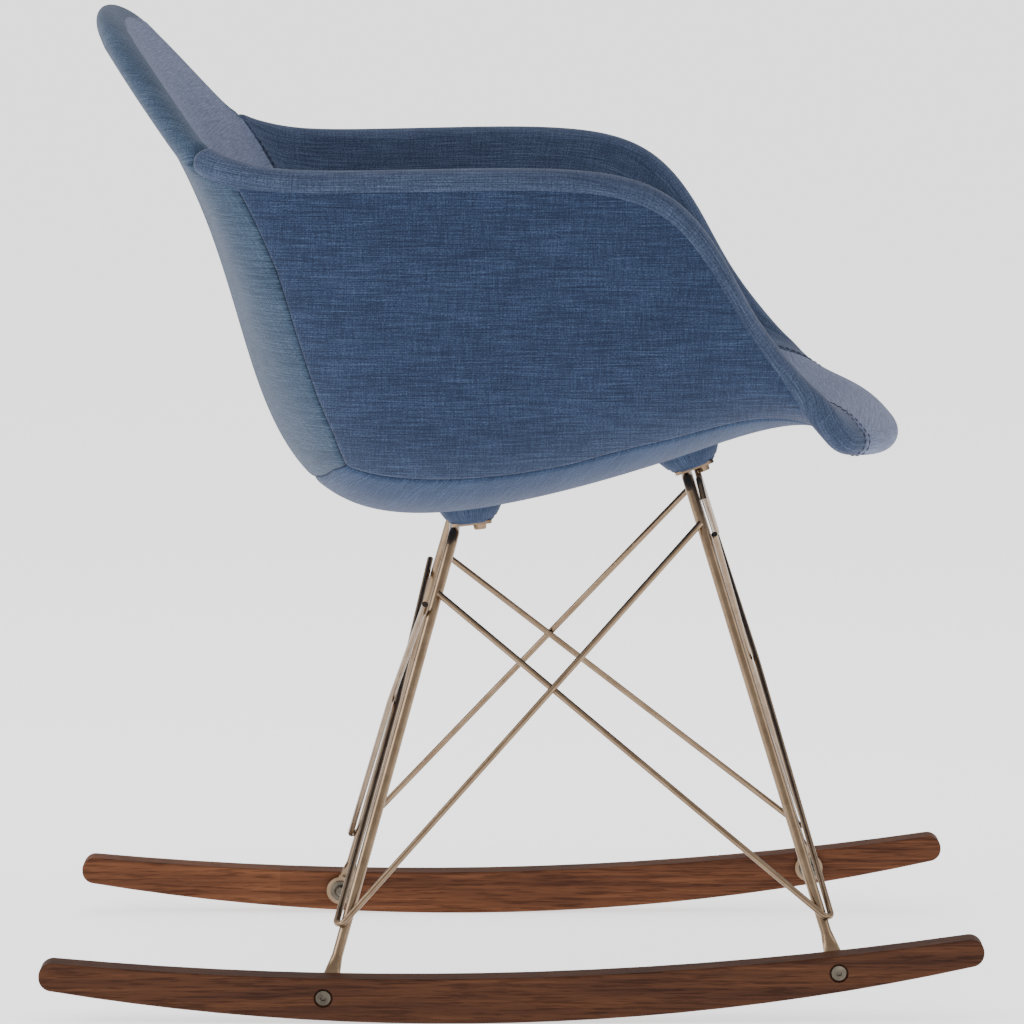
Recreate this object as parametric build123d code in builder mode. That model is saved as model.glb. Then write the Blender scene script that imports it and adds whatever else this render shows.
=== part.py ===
from build123d import *
import os
from math import cos, exp, radians, sin, sqrt

# Rocking armchair: an upholstered bucket seat on a bent-wire base with wooden rockers.
# Millimetres. +Z is up, the sitter faces -Y, and the sitter's left is +X.
# The origin is on the floor, under the middle of the chair's bounding box.

# ---------------------------------------------------------------- driving sizes
# Rockers: flat boards with a round-bottomed side view
ROCKER_THICK = 24.0
ROCKER_OUTER_X = 225.0
ROCKER_FRONT_Y = -344.0
ROCKER_REAR_Y = 345.0
ROCKER_SOLE_RADIUS = 1760.0
ROCKER_SOLE_Y = 47.0
ROCKER_TOP_RADIUS = 2850.0
ROCKER_TOP_Y = 75.0
ROCKER_TOP_LOW_Z = 33.0
ROCKER_END_FILLET = 9.8
ROCKER_EDGE_FILLET = 1.6

# Wire base
LEG_RADIUS = 4.0
BRACE_RADIUS = 2.4
LEG_BEND = 12.0
FRONT_BAR = (-130.4, 385.8)
REAR_BAR = (43.1, 344.8)
BAR_HALF_WIDTH = 103.0
FRONT_FOOT = (193.9, -234.8, 47.0)
REAR_FOOT = (193.9, 132.4, 29.0)
FRONT_BOLT = (-238.0, 37.6)
REAR_BOLT = (137.6, 19.1)
LEG_NECK_RUN = 16.0
WELD_GAP = 0.15

# Bracing rods: the height of each rod's top end, of its hook round the far leg and of its tip
BRACE_TOP_Z = {"front": 355.0, "rear": 303.0}
BRACE_HOOK_Z = {"front": 73.5, "rear": 67.3}
BRACE_TIP_X = {"front": 115.0, "rear": 132.0}
BRACE_TIP_Z = {"front": 346.0, "rear": 296.0}
BRACE_CROSS_Z = {"front": 236.0, "rear": 203.0}
HOOK_WIDE = 7.5
HOOK_NARROW = 3.0
HOOK_BEND = 4.0
BRACE_BOW = 2.7
TIE_END = (107.0, -142.2, 371.0)
TIE_CREST = (101.0, -138.2, 387.5)
TIE_MIDDLE = (-156.0, 332.0)

# Seat mounts: a plate on a crossbar, a bolt and a tapered boss
MOUNT_X = 85.0
FRONT_MOUNT = (-140.6, 396.6)
REAR_MOUNT = (24.4, 353.4)
FRONT_TILT = 20.4
REAR_TILT = 6.2
PLATE_THICK = 2.4
PLATE_WIDTH = 24.0
PLATE_FORWARD = 9.3
PLATE_REARWARD = 20.9
BOSS_SHIFT = 5.8
BOSS_FOOT_RADIUS = 16.0
BOSS_SLOPE = 0.62
BOSS_TALL = 24.0
INSERT_RADIUS = 5.5
INSERT_DEPTH = 10.0
BOLT_RADIUS = 3.0
BOLT_HOLE_RADIUS = 3.3
SEAT_BOLT_HEAD_RADIUS = 5.2
SEAT_BOLT_HEAD_TALL = 4.6

# Rocker fastenings
LUG_RADIUS = 11.0
LUG_THICK = 4.0
WASHER_RADIUS = 8.0
WASHER_THICK = 1.4
BOLT_HEAD_RADIUS = 5.0
BOLT_HEAD_TALL = 3.6
NUT_HEAD_RADIUS = 5.6
NUT_HEAD_TALL = 2.0
NUT_SLEEVE_RADIUS = 4.0
NUT_SLEEVE_LENGTH = 16.0
COUNTERBORE_RADIUS = 7.0
COUNTERBORE_DEPTH = 2.6
HEX_SOCKET_RADIUS = 2.4
HEX_SOCKET_DEPTH = 1.4
THREAD_FIT = 0.05
LUG_NECK_WIDTH = 13.0
THREAD_ENGAGEMENT = 11.0

# Upholstery layers, as distances from the middle of the moulded shell (+ is the sitter's side)
SHELL_HALF = 2.5
GLUE_LINE = 0.3
FOAM_FACE = 11.2
WADDING_FACE = 6.2
COVER_INNER_FACE = 13.0
COVER_OUTER_FACE = 8.0
WELT_RADIUS = 10.5
WELT_SHIFT = 2.5
RIM_INSET = 11.7
SEAM_GAP = 0.0025
WADDING_TRIM = 0.02

# The middle of the moulded shell, half of it, as rows from the front lip to the top of the back.
# Each row runs from the middle of the chair to the rim as a cubic curve through four points:
# the middle (y, z), a low handle, a high handle and the rim (x, y, z).
SHELL_ROWS = [
    ((-279, 414), (100, -279, 414), (163, -262, 417), (196, -238, 424)),
    ((-264, 432), (108, -264, 432), (189, -240, 424), (208, -220, 445)),
    ((-230, 438), (130, -230, 438), (208, -208, 436), (227, -197, 471)),
    ((-178, 429), (150, -178, 429), (228, -178, 431), (249, -164, 513)),
    ((-118, 408), (175, -118, 406), (235, -128, 413), (267, -141, 561)),
    ((-58, 388), (190, -58, 387), (238, -75, 399), (279, -108, 604)),
    ((2, 373), (195, 2, 371), (238, -10, 385), (285, -52, 617)),
    ((60, 363), (190, 60, 361), (236, 52, 381), (286, 38, 616)),
    ((114, 366), (165, 114, 362), (235, 110, 388), (284, 115, 614)),
    ((155, 392), (130, 155, 388), (228, 143, 424), (276, 172, 614)),
    ((182, 442), (112, 182, 440), (213, 168, 494), (258, 207, 620)),
    ((201, 510), (105, 201, 510), (188, 187, 558), (232, 230, 633)),
    ((222, 579), (95, 222, 579), (162, 211, 610), (206, 247, 652)),
    ((251, 640), (80, 251, 640), (136, 244, 652), (175, 265, 674)),
    ((284, 690), (62, 284, 690), (104, 279, 691), (140, 283, 697)),
    ((304, 722), (42, 304, 722), (82, 300, 718), (108, 293, 710)),
]

# Seam places on the shell: u runs 0..1 from the middle to the rim, v runs 0..1 from lip to top
V_FRONT_CORNER = 0.05
V_NOTCH = 0.72
V_SIDE_FRONT = 0.12
V_BACK_SEAM = 0.588
BACK_SEAM_RISE = 0.054
BACK_SEAM_DIP = 0.048
BACK_SEAM_INNER_WIDTH = 0.1
BACK_SEAM_OUTER_WIDTH = 0.2
INNER_SEAM_DEPTH = 0.39
INNER_SEAM_SOFT = 0.03
V_ARM_PANEL_FRONT = 0.085
V_ARM_PANEL_REAR = 0.655
U_UNDER_SEAM = 0.495
V_UNDER_FLARE = 0.155
UNDER_FLARE_RUN = 0.035

SIDES = {"left": 1, "right": -1}


# ---------------------------------------------------------------- shell surface
def control_points(index):
    """The four points of one row; rows past either end are mirrored about the end row."""
    last = len(SHELL_ROWS) - 1
    if index < 0:
        ends = zip(control_points(0), control_points(1))
        return [2 * end - near for end, near in ends]
    if index > last:
        ends = zip(control_points(last), control_points(last - 1))
        return [2 * end - near for end, near in ends]
    middle, low, high, rim = SHELL_ROWS[index]
    return [Vector(0, *middle), Vector(*low), Vector(*high), Vector(*rim)]


def row_at(v):
    """The four row points at v, blended between rows with a cubic B-spline."""
    place = min(max(v, 0.0), 1.0) * (len(SHELL_ROWS) - 1)
    index = min(int(place), len(SHELL_ROWS) - 2)
    f = place - index
    weights = [
        (1 - f) ** 3 / 6,
        (3 * f**3 - 6 * f**2 + 4) / 6,
        (-3 * f**3 + 3 * f**2 + 3 * f + 1) / 6,
        f**3 / 6,
    ]
    rows = [control_points(index + step) for step in (-1, 0, 1, 2)]
    blended = []
    for column in range(4):
        point = Vector(0, 0, 0)
        for weight, row in zip(weights, rows):
            point += row[column] * weight
        blended.append(point)
    return blended


def shell_middle(u, v):
    """Point on the middle of the moulded shell; u is -1 at the right rim and 1 at the left."""
    middle, low, high, rim = row_at(v)
    a = abs(u)
    point = middle * (1 - a) ** 3 + low * (3 * (1 - a) ** 2 * a) + high * (3 * (1 - a) * a**2) + rim * a**3
    return Vector(point.X if u >= 0 else -point.X, point.Y, point.Z)


def shell_normal(u, v):
    """Unit normal of the shell at (u, v), towards the sitter."""
    step = 0.001
    u_in = min(max(u, -1 + step), 1 - step)
    v_in = min(max(v, step), 1 - step)
    across = shell_middle(u_in + step, v_in) - shell_middle(u_in - step, v_in)
    along = shell_middle(u_in, v_in + step) - shell_middle(u_in, v_in - step)
    return across.cross(along).normalized()


def shell_point(u, v, depth):
    return shell_middle(u, v) + shell_normal(u, v) * depth


RIM_POINTS = [shell_middle(1, step / 120) for step in range(121)]


def rim_edge_at(v):
    """Widest u on the line v that keeps the layers' edge clear of the edge welt."""
    clear, blocked = 0.3, 1.0
    for _ in range(14):
        middle = (clear + blocked) / 2
        point = shell_middle(middle, v)
        if min((point - rim).length for rim in RIM_POINTS) < RIM_INSET:
            blocked = middle
        else:
            clear = middle
    return clear


RIM_STEPS = 75
RIM_EDGE = [rim_edge_at(step / RIM_STEPS) for step in range(RIM_STEPS + 1)]


def rim_u(v):
    """u of the layers' edge, which stops short of the rim to leave room for the edge welt."""
    place = min(max(v, 0.0), 0.9999) * RIM_STEPS
    index = int(place)
    return RIM_EDGE[index] + (RIM_EDGE[index + 1] - RIM_EDGE[index]) * (place - index)


V_LIP = RIM_INSET / (15 * (shell_middle(0, 0) - shell_middle(0, 1 / 15)).length)
V_TOP = 1 - RIM_INSET / (15 * (shell_middle(0, 1) - shell_middle(0, 14 / 15)).length)


def under_seam_u(v):
    """u of the seam between the underside and a side panel."""
    flare = 1 / (1 + exp((v - V_UNDER_FLARE) / UNDER_FLARE_RUN))
    return U_UNDER_SEAM + (rim_u(v) - U_UNDER_SEAM) * flare


def inner_seam_u(v):
    """u of the seam between the seat-and-back panel and an arm panel on the sitter's side."""
    half = (V_NOTCH - V_FRONT_CORNER) / 2
    x = min(max((v - V_FRONT_CORNER - half) / half, -1.0), 1.0)
    power = 6 if x < 0 else 2
    seam = 1 - INNER_SEAM_DEPTH * (1 - abs(x) ** power)
    edge = rim_u(v)
    return (seam + edge - sqrt((seam - edge) ** 2 + INNER_SEAM_SOFT**2)) / 2


def back_seam_v(u):
    """v of the seam under the back panel, which dips where the underside and side panels meet it."""
    a = abs(u)
    rise = BACK_SEAM_RISE * max((a - 0.2) / 0.8, 0) ** 3
    width = BACK_SEAM_INNER_WIDTH if a < U_UNDER_SEAM else BACK_SEAM_OUTER_WIDTH
    return V_BACK_SEAM + rise - BACK_SEAM_DIP * exp(-(((a - U_UNDER_SEAM) / width) ** 2))


def layer_solid(place, depth_low, depth_high, count_s, count_t):
    """Closed solid between two offsets of the shell; place(s, t) gives (u, v) for s, t in 0..1."""
    grids = []
    for depth in (depth_low, depth_high):
        grid = []
        for j in range(count_t + 1):
            line = [shell_point(*place(i / count_s, j / count_t), depth) for i in range(count_s + 1)]
            grid.append(line)
        grids.append(grid)
    faces = [Face.make_surface_from_array_of_points(grid, tol=0.05) for grid in grids]
    low_edges, high_edges = [face.edges() for face in faces]
    for low_edge in low_edges:
        high_edge = min(high_edges, key=lambda edge: ((edge @ 0.5) - (low_edge @ 0.5)).length)
        faces.append(Face.make_surface_from_curves(low_edge, high_edge))
    return Solid(Shell(faces))


def whole_face(s, t):
    v = V_LIP + (V_TOP - V_LIP) * t
    return (2 * s - 1) * rim_u(v), v


def wadding_face(s, t):
    v_low = V_LIP + WADDING_TRIM
    v = v_low + (V_TOP - WADDING_TRIM - v_low) * t
    return (2 * s - 1) * (rim_u(v) - WADDING_TRIM), v


def centre_panel_face(s, t):
    v = V_LIP + (V_TOP - V_LIP) * t
    return (2 * s - 1) * (inner_seam_u(v) - SEAM_GAP), v


def arm_panel_face(side):
    def place(s, t):
        v = V_ARM_PANEL_FRONT + (V_ARM_PANEL_REAR - V_ARM_PANEL_FRONT) * t
        seam = inner_seam_u(v) + SEAM_GAP
        return side * (seam + (rim_u(v) - seam) * s), v

    return place


def side_panel_face(side):
    def place(s, t):
        v_rear = back_seam_v(U_UNDER_SEAM + (rim_u(0.6) - U_UNDER_SEAM) * s) - SEAM_GAP
        v = V_SIDE_FRONT + (v_rear - V_SIDE_FRONT) * t
        seam = under_seam_u(v) + SEAM_GAP
        return side * (seam + (rim_u(v) - seam) * s), v

    return place


def underside_face(s, t):
    across = 2 * s - 1
    v_rear = back_seam_v(across * U_UNDER_SEAM) - SEAM_GAP
    v = V_LIP + (v_rear - V_LIP) * t
    return across * (under_seam_u(v) - SEAM_GAP), v


def back_panel_face(s, t):
    across = 2 * s - 1
    v_low = back_seam_v(across * rim_u(0.6)) + SEAM_GAP
    v = v_low + (V_TOP - v_low) * t
    return across * rim_u(v), v


# ---------------------------------------------------------------- mount frames
def mount_plane(side, place, tilt):
    """Plane on a mount plate's top face at its bolt: local x is +X, local z is up the bolt."""
    normal = (0, sin(radians(tilt)), cos(radians(tilt)))
    return Plane(origin=(side * MOUNT_X, *place), x_dir=(1, 0, 0), z_dir=normal)


MOUNTS = {}
for side_name, side in SIDES.items():
    MOUNTS["front_" + side_name] = mount_plane(side, FRONT_MOUNT, FRONT_TILT)
    MOUNTS["rear_" + side_name] = mount_plane(side, REAR_MOUNT, REAR_TILT)


def boss_cone(plane, growth=0.0):
    """Tapered boss of one mount, taller than it stands, before it is cut to the shell."""
    foot = BOSS_FOOT_RADIUS + growth
    centre = plane * Location((0, BOSS_SHIFT, BOSS_TALL / 2))
    return centre * Cone(foot, foot + BOSS_SLOPE * BOSS_TALL, BOSS_TALL, mode=Mode.PRIVATE)


def export_part(builder, name):
    builder.part.label = name
    export_step(builder.part, "parts/" + name + ".step")


os.makedirs("parts", exist_ok=True)

# ---------------------------------------------------------------- edge welts
def rim_place(side, turn):
    """(u, v) on half the rim: turn 0 is the lip's middle, 1 and 2 its corners, 3 the top's middle."""
    if turn <= 1:
        return side * turn, 0.0
    if turn <= 2:
        return side, turn - 1
    return side * (3 - turn), 1.0


def welt_plane(side, turn):
    """Section plane of a welt, square to the rim."""
    step = 0.01
    here = shell_point(*rim_place(side, turn), WELT_SHIFT)
    ahead = shell_middle(*rim_place(side, turn + step))
    behind = shell_middle(*rim_place(side, turn - step))
    return Plane(origin=here, z_dir=(ahead - behind).normalized())


def planes_across(turns):
    """Section planes from the left side over the middle to the right side."""
    left = [welt_plane(1, turn) for turn in turns]
    right = []
    for plane in reversed(left):
        if plane.origin.X > 1:
            origin = Vector(-plane.origin.X, plane.origin.Y, plane.origin.Z)
            heading = Vector(plane.z_dir.X, -plane.z_dir.Y, -plane.z_dir.Z)
            right.append(Plane(origin=origin, z_dir=heading))
    return left + right


def welt(planes, radius):
    """Round padded edging lofted through circles along the rim."""
    with BuildPart() as piece:
        for plane in planes:
            with BuildSketch(plane):
                Circle(radius)
        loft()
    return piece


FRONT_TURNS = [0.95, 0.85, 0.7, 0.55, 0.4, 0.2, 0.0]
ARM_TURNS = [1.035 + 0.645 * step / 18 for step in range(19)]
BACK_TURNS = [1.7 + 0.03 * step for step in range(9)] + [1.965, 2.1, 2.25, 2.4, 2.6, 2.8, 3.0]

WELT_PLANES = {
    "front_edge_welt": planes_across(FRONT_TURNS),
    "back_edge_welt": planes_across(BACK_TURNS),
    "arm_welt_left": [welt_plane(1, turn) for turn in ARM_TURNS],
    "arm_welt_right": [welt_plane(-1, turn) for turn in ARM_TURNS],
}
for welt_name, planes in WELT_PLANES.items():
    export_part(welt(planes, WELT_RADIUS), welt_name)
WELT_CUTTERS = [welt(planes, WELT_RADIUS + GLUE_LINE).part for planes in WELT_PLANES.values()]

# ---------------------------------------------------------------- moulded shell and padding
with BuildPart() as seat_shell:
    add(layer_solid(whole_face, -SHELL_HALF, SHELL_HALF, 28, 45))
    for cutter in WELT_CUTTERS:
        add(cutter, mode=Mode.SUBTRACT)
export_part(seat_shell, "seat_shell")

with BuildPart() as seat_foam:
    add(layer_solid(whole_face, SHELL_HALF + GLUE_LINE, FOAM_FACE, 28, 45))
    for cutter in WELT_CUTTERS:
        add(cutter, mode=Mode.SUBTRACT)
export_part(seat_foam, "seat_foam")

with BuildPart() as outer_wadding:
    add(layer_solid(wadding_face, -WADDING_FACE, -SHELL_HALF - GLUE_LINE, 28, 45))
    for plane in MOUNTS.values():
        add(boss_cone(plane, GLUE_LINE), mode=Mode.SUBTRACT)
export_part(outer_wadding, "outer_wadding")

# ---------------------------------------------------------------- sewn cover panels
with BuildPart() as inner_centre_panel:
    add(layer_solid(centre_panel_face, FOAM_FACE + GLUE_LINE, COVER_INNER_FACE, 24, 60))
export_part(inner_centre_panel, "inner_centre_panel")

for side_name, side in SIDES.items():
    with BuildPart() as inner_arm_panel:
        add(layer_solid(arm_panel_face(side), FOAM_FACE + GLUE_LINE, COVER_INNER_FACE, 14, 40))
    export_part(inner_arm_panel, "inner_arm_panel_" + side_name)

    with BuildPart() as outer_side_panel:
        add(layer_solid(side_panel_face(side), -COVER_OUTER_FACE, -WADDING_FACE - GLUE_LINE, 16, 30))
    export_part(outer_side_panel, "outer_side_panel_" + side_name)

with BuildPart() as outer_back_panel:
    add(layer_solid(back_panel_face, -COVER_OUTER_FACE, -WADDING_FACE - GLUE_LINE, 40, 24))
export_part(outer_back_panel, "outer_back_panel")

with BuildPart() as underside_panel:
    add(layer_solid(underside_face, -COVER_OUTER_FACE, -WADDING_FACE - GLUE_LINE, 18, 34))
    for plane in MOUNTS.values():
        add(boss_cone(plane, GLUE_LINE), mode=Mode.SUBTRACT)
export_part(underside_panel, "underside_panel")


# ---------------------------------------------------------------- seat mounts
SHELL_CUTTER = layer_solid(whole_face, -SHELL_HALF - GLUE_LINE, COVER_INNER_FACE, 28, 45)

for mount_name, plane in MOUNTS.items():
    with BuildPart() as boss:
        add(boss_cone(plane))
        add(SHELL_CUTTER, mode=Mode.SUBTRACT)
        with BuildSketch(plane):
            Circle(INSERT_RADIUS + THREAD_FIT)
        extrude(amount=INSERT_DEPTH, mode=Mode.SUBTRACT)
    export_part(boss, mount_name + "_boss")

with BuildPart() as threaded_inserts:
    for plane in MOUNTS.values():
        with BuildSketch(plane):
            Circle(INSERT_RADIUS)
            Circle(BOLT_RADIUS + THREAD_FIT, mode=Mode.SUBTRACT)
        extrude(amount=INSERT_DEPTH)
export_part(threaded_inserts, "threaded_inserts")

for mount_name, plane in MOUNTS.items():
    with BuildPart() as mount_plate:
        with BuildSketch(plane):
            with Locations((0, (PLATE_REARWARD - PLATE_FORWARD) / 2)):
                RectangleRounded(PLATE_WIDTH, PLATE_FORWARD + PLATE_REARWARD, 4)
            Circle(BOLT_HOLE_RADIUS, mode=Mode.SUBTRACT)
        extrude(amount=-PLATE_THICK)
    export_part(mount_plate, mount_name + "_mount_plate")

with BuildPart() as seat_bolts:
    for plane in MOUNTS.values():
        with BuildSketch(plane.offset(-PLATE_THICK)):
            Circle(BOLT_RADIUS)
        extrude(amount=PLATE_THICK + INSERT_DEPTH - 1)
        with BuildSketch(plane.offset(-PLATE_THICK)):
            Circle(SEAT_BOLT_HEAD_RADIUS)
        extrude(amount=-SEAT_BOLT_HEAD_TALL, taper=8)
        with BuildSketch(plane.offset(-PLATE_THICK - SEAT_BOLT_HEAD_TALL)):
            RegularPolygon(HEX_SOCKET_RADIUS, 6)
        extrude(amount=HEX_SOCKET_DEPTH + 0.6, mode=Mode.SUBTRACT)
export_part(seat_bolts, "seat_bolts")


# ---------------------------------------------------------------- bent-wire leg frames
def leg_corner(bar, side):
    return Vector(side * BAR_HALF_WIDTH, *bar)


def foot_point(foot, side):
    return Vector(side * foot[0], foot[1], foot[2])


def leg_axis(bar, foot, side, height):
    """Point on a leg's axis at a height."""
    corner = leg_corner(bar, side)
    end = foot_point(foot, side)
    return corner + (end - corner) * ((corner.Z - height) / (corner.Z - end.Z))


def leg_frame(bar, foot, bolt):
    """Two legs and their crossbar bent from one rod, with a flattened lug on each foot."""
    neck_tops = {}
    for side in SIDES.values():
        along = (foot_point(foot, side) - leg_corner(bar, side)).normalized()
        neck_tops[side] = foot_point(foot, side) - along * LEG_NECK_RUN
    inner_x = ROCKER_OUTER_X - ROCKER_THICK - LUG_THICK
    with BuildPart() as piece:
        with BuildLine() as run:
            corners = (neck_tops[1], leg_corner(bar, 1), leg_corner(bar, -1), neck_tops[-1])
            FilletPolyline(*corners, radius=LEG_BEND)
        with BuildSketch(run.line ^ 0):
            Circle(LEG_RADIUS)
        sweep()
        for side in SIDES.values():
            down = (foot_point(foot, side) - leg_corner(bar, side)).normalized()
            lug_down = Vector(0, bolt[0] - foot[1], bolt[1] - foot[2]).normalized()
            lug_middle = Vector(side * (inner_x + LUG_THICK / 2), foot[1], foot[2])
            with BuildSketch(Plane(origin=neck_tops[side], x_dir=(1, 0, 0), z_dir=down)):
                Circle(LEG_RADIUS)
            with BuildSketch(Plane(origin=lug_middle, x_dir=(1, 0, 0), z_dir=lug_down)):
                RectangleRounded(LUG_THICK, LUG_NECK_WIDTH, 1.5)
            loft()
            lug_plane = Plane(origin=(side * inner_x, *bolt), x_dir=(0, 1, 0), z_dir=(side, 0, 0))
            neck_in = lug_plane.to_local_coords(Vector(side * inner_x, foot[1], foot[2]))
            neck_length = sqrt(neck_in.X**2 + neck_in.Y**2)
            neck_turn = Vector(neck_in.X, neck_in.Y, 0).get_signed_angle(Vector(1, 0, 0), Vector(0, 0, -1))
            with BuildSketch(lug_plane):
                Circle(LUG_RADIUS)
                with Locations((neck_in.X / 2, neck_in.Y / 2)):
                    Rectangle(neck_length, LUG_NECK_WIDTH, rotation=neck_turn)
            extrude(amount=LUG_THICK)
            with BuildSketch(lug_plane):
                Circle(BOLT_HOLE_RADIUS)
            extrude(amount=LUG_THICK, mode=Mode.SUBTRACT)
    return piece


LEG_FRAMES = {"front": (FRONT_BAR, FRONT_FOOT, FRONT_BOLT), "rear": (REAR_BAR, REAR_FOOT, REAR_BOLT)}
for frame_name, (bar, foot, bolt) in LEG_FRAMES.items():
    export_part(leg_frame(bar, foot, bolt), frame_name + "_leg_frame")


# ---------------------------------------------------------------- bracing rods
def brace_rod(top_end, hook_end, side):
    """One rod: down the chair's side, hooked round a leg and back up across to the other leg."""
    top_bar, top_foot, _ = LEG_FRAMES[top_end]
    hook_bar, hook_foot, _ = LEG_FRAMES[hook_end]
    stand_off = LEG_RADIUS + BRACE_RADIUS + WELD_GAP
    beyond = 1 if hook_end == "rear" else -1
    slope = (hook_foot[1] - hook_bar[0]) / (hook_bar[1] - hook_foot[2])
    frame_stand_off = stand_off * sqrt(1 + slope**2)
    splay = (top_foot[0] - BAR_HALF_WIDTH) / (top_bar[1] - top_foot[2])
    side_stand_off = stand_off * sqrt(1 + splay**2)
    top = leg_axis(top_bar, top_foot, side, BRACE_TOP_Z[top_end]) + Vector(side * side_stand_off, 0, 0)
    hook = leg_axis(hook_bar, hook_foot, side, BRACE_HOOK_Z[hook_end])
    cross_z = BRACE_CROSS_Z[hook_end]
    tip_z = BRACE_TIP_Z[hook_end]
    cross_y = leg_axis(hook_bar, hook_foot, side, cross_z).Y + beyond * (frame_stand_off + 0.4)
    tip_y = leg_axis(hook_bar, hook_foot, side, tip_z).Y + beyond * (frame_stand_off + 0.4)
    stops = [
        top,
        hook + Vector(side * HOOK_WIDE, beyond * HOOK_NARROW, 0),
        hook + Vector(side * HOOK_NARROW, beyond * HOOK_WIDE, 0),
        Vector(0, cross_y + side * BRACE_BOW, cross_z),
        Vector(-side * BRACE_TIP_X[hook_end], tip_y, tip_z),
    ]
    with BuildPart() as piece:
        with BuildLine() as run:
            FilletPolyline(*stops, radius=[HOOK_BEND, HOOK_BEND, 300])
        with BuildSketch(run.line ^ 0):
            Circle(BRACE_RADIUS)
        sweep()
    return piece


for side_name, side in SIDES.items():
    export_part(brace_rod("front", "rear", side), "rear_brace_rod_" + side_name)
    export_part(brace_rod("rear", "front", side), "front_brace_rod_" + side_name)

with BuildPart() as front_tie_rod:
    tie_stops = [Vector(*TIE_END), Vector(*TIE_CREST), Vector(0, *TIE_MIDDLE)]
    tie_stops += [Vector(-stop.X, stop.Y, stop.Z) for stop in reversed(tie_stops[:2])]
    with BuildLine() as tie_run:
        FilletPolyline(*tie_stops, radius=[5, 10, 5])
    with BuildSketch(tie_run.line ^ 0):
        Circle(BRACE_RADIUS)
    sweep()
export_part(front_tie_rod, "front_tie_rod")


# ---------------------------------------------------------------- rockers
def sole_z(y):
    return ROCKER_SOLE_RADIUS - sqrt(ROCKER_SOLE_RADIUS**2 - (y - ROCKER_SOLE_Y) ** 2)


def deck_z(y):
    centre_z = ROCKER_TOP_LOW_Z + ROCKER_TOP_RADIUS
    return centre_z - sqrt(ROCKER_TOP_RADIUS**2 - (y - ROCKER_TOP_Y) ** 2)


def rocker(side):
    """Rocker board: round sole, flatter deck, softened edges and counterbored bolt holes."""
    middle = (ROCKER_FRONT_Y + ROCKER_REAR_Y) / 2
    inner_x = ROCKER_OUTER_X - ROCKER_THICK
    face = Plane(origin=(side * inner_x, 0, 0), x_dir=(0, 1, 0), z_dir=(side, 0, 0))
    up = 1 if side > 0 else -1
    with BuildPart() as piece:
        with BuildSketch(face):
            with BuildLine():
                stations = (ROCKER_FRONT_Y, middle, ROCKER_REAR_Y)
                sole = ThreePointArc(*[(y, up * sole_z(y)) for y in stations])
                deck = ThreePointArc(*[(y, up * deck_z(y)) for y in stations])
                Line(sole @ 0, deck @ 0)
                Line(sole @ 1, deck @ 1)
            make_face()
            fillet(vertices(), ROCKER_END_FILLET)
        extrude(amount=ROCKER_THICK)
        rims = faces().filter_by(Axis.X).edges()
        fillet(rims, ROCKER_EDGE_FILLET)
        for bolt_y, bolt_z in (FRONT_BOLT, REAR_BOLT):
            centre = (side * ROCKER_OUTER_X, bolt_y, bolt_z)
            outside = Plane(origin=centre, x_dir=(0, 1, 0), z_dir=(side, 0, 0))
            with BuildSketch(outside):
                Circle(COUNTERBORE_RADIUS)
            extrude(amount=-COUNTERBORE_DEPTH, mode=Mode.SUBTRACT)
            with BuildSketch(outside):
                Circle(NUT_SLEEVE_RADIUS + 0.2)
            extrude(amount=-ROCKER_THICK, mode=Mode.SUBTRACT)
    return piece


for side_name, side in SIDES.items():
    export_part(rocker(side), side_name + "_rocker")

# ---------------------------------------------------------------- rocker fastenings
LUG_INNER_X = ROCKER_OUTER_X - ROCKER_THICK - LUG_THICK


def bolt_planes(distance):
    """Planes square to the four rocker bolts at a distance from the chair's middle, facing outwards."""
    planes = []
    for side in SIDES.values():
        for bolt in (FRONT_BOLT, REAR_BOLT):
            planes.append(Plane(origin=(side * distance, *bolt), x_dir=(0, 1, 0), z_dir=(side, 0, 0)))
    return planes


with BuildPart() as rocker_washers:
    for plane in bolt_planes(LUG_INNER_X):
        with BuildSketch(plane):
            Circle(WASHER_RADIUS)
            Circle(BOLT_HOLE_RADIUS, mode=Mode.SUBTRACT)
        extrude(amount=-WASHER_THICK)
export_part(rocker_washers, "rocker_washers")

NUT_SEAT_X = ROCKER_OUTER_X - COUNTERBORE_DEPTH
with BuildPart() as rocker_cap_nuts:
    for plane in bolt_planes(NUT_SEAT_X):
        with BuildSketch(plane):
            Circle(NUT_HEAD_RADIUS)
        extrude(amount=NUT_HEAD_TALL, taper=6)
        with BuildSketch(plane.offset(NUT_HEAD_TALL)):
            RegularPolygon(HEX_SOCKET_RADIUS, 6)
        extrude(amount=-HEX_SOCKET_DEPTH, mode=Mode.SUBTRACT)
        with BuildSketch(plane):
            Circle(NUT_SLEEVE_RADIUS)
        extrude(amount=-NUT_SLEEVE_LENGTH)
        with BuildSketch(plane.offset(-NUT_SLEEVE_LENGTH)):
            Circle(BOLT_RADIUS + THREAD_FIT)
        extrude(amount=THREAD_ENGAGEMENT + 1, mode=Mode.SUBTRACT)
export_part(rocker_cap_nuts, "rocker_cap_nuts")

with BuildPart() as rocker_bolts:
    shank_end = NUT_SEAT_X - NUT_SLEEVE_LENGTH + THREAD_ENGAGEMENT
    for plane in bolt_planes(LUG_INNER_X - WASHER_THICK):
        with BuildSketch(plane):
            Circle(BOLT_RADIUS)
        extrude(amount=shank_end - LUG_INNER_X + WASHER_THICK)
        with BuildSketch(plane):
            Circle(BOLT_HEAD_RADIUS)
        extrude(amount=-BOLT_HEAD_TALL, taper=24)
export_part(rocker_bolts, "rocker_bolts")
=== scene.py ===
from math import cos, pi, radians, sin

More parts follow.
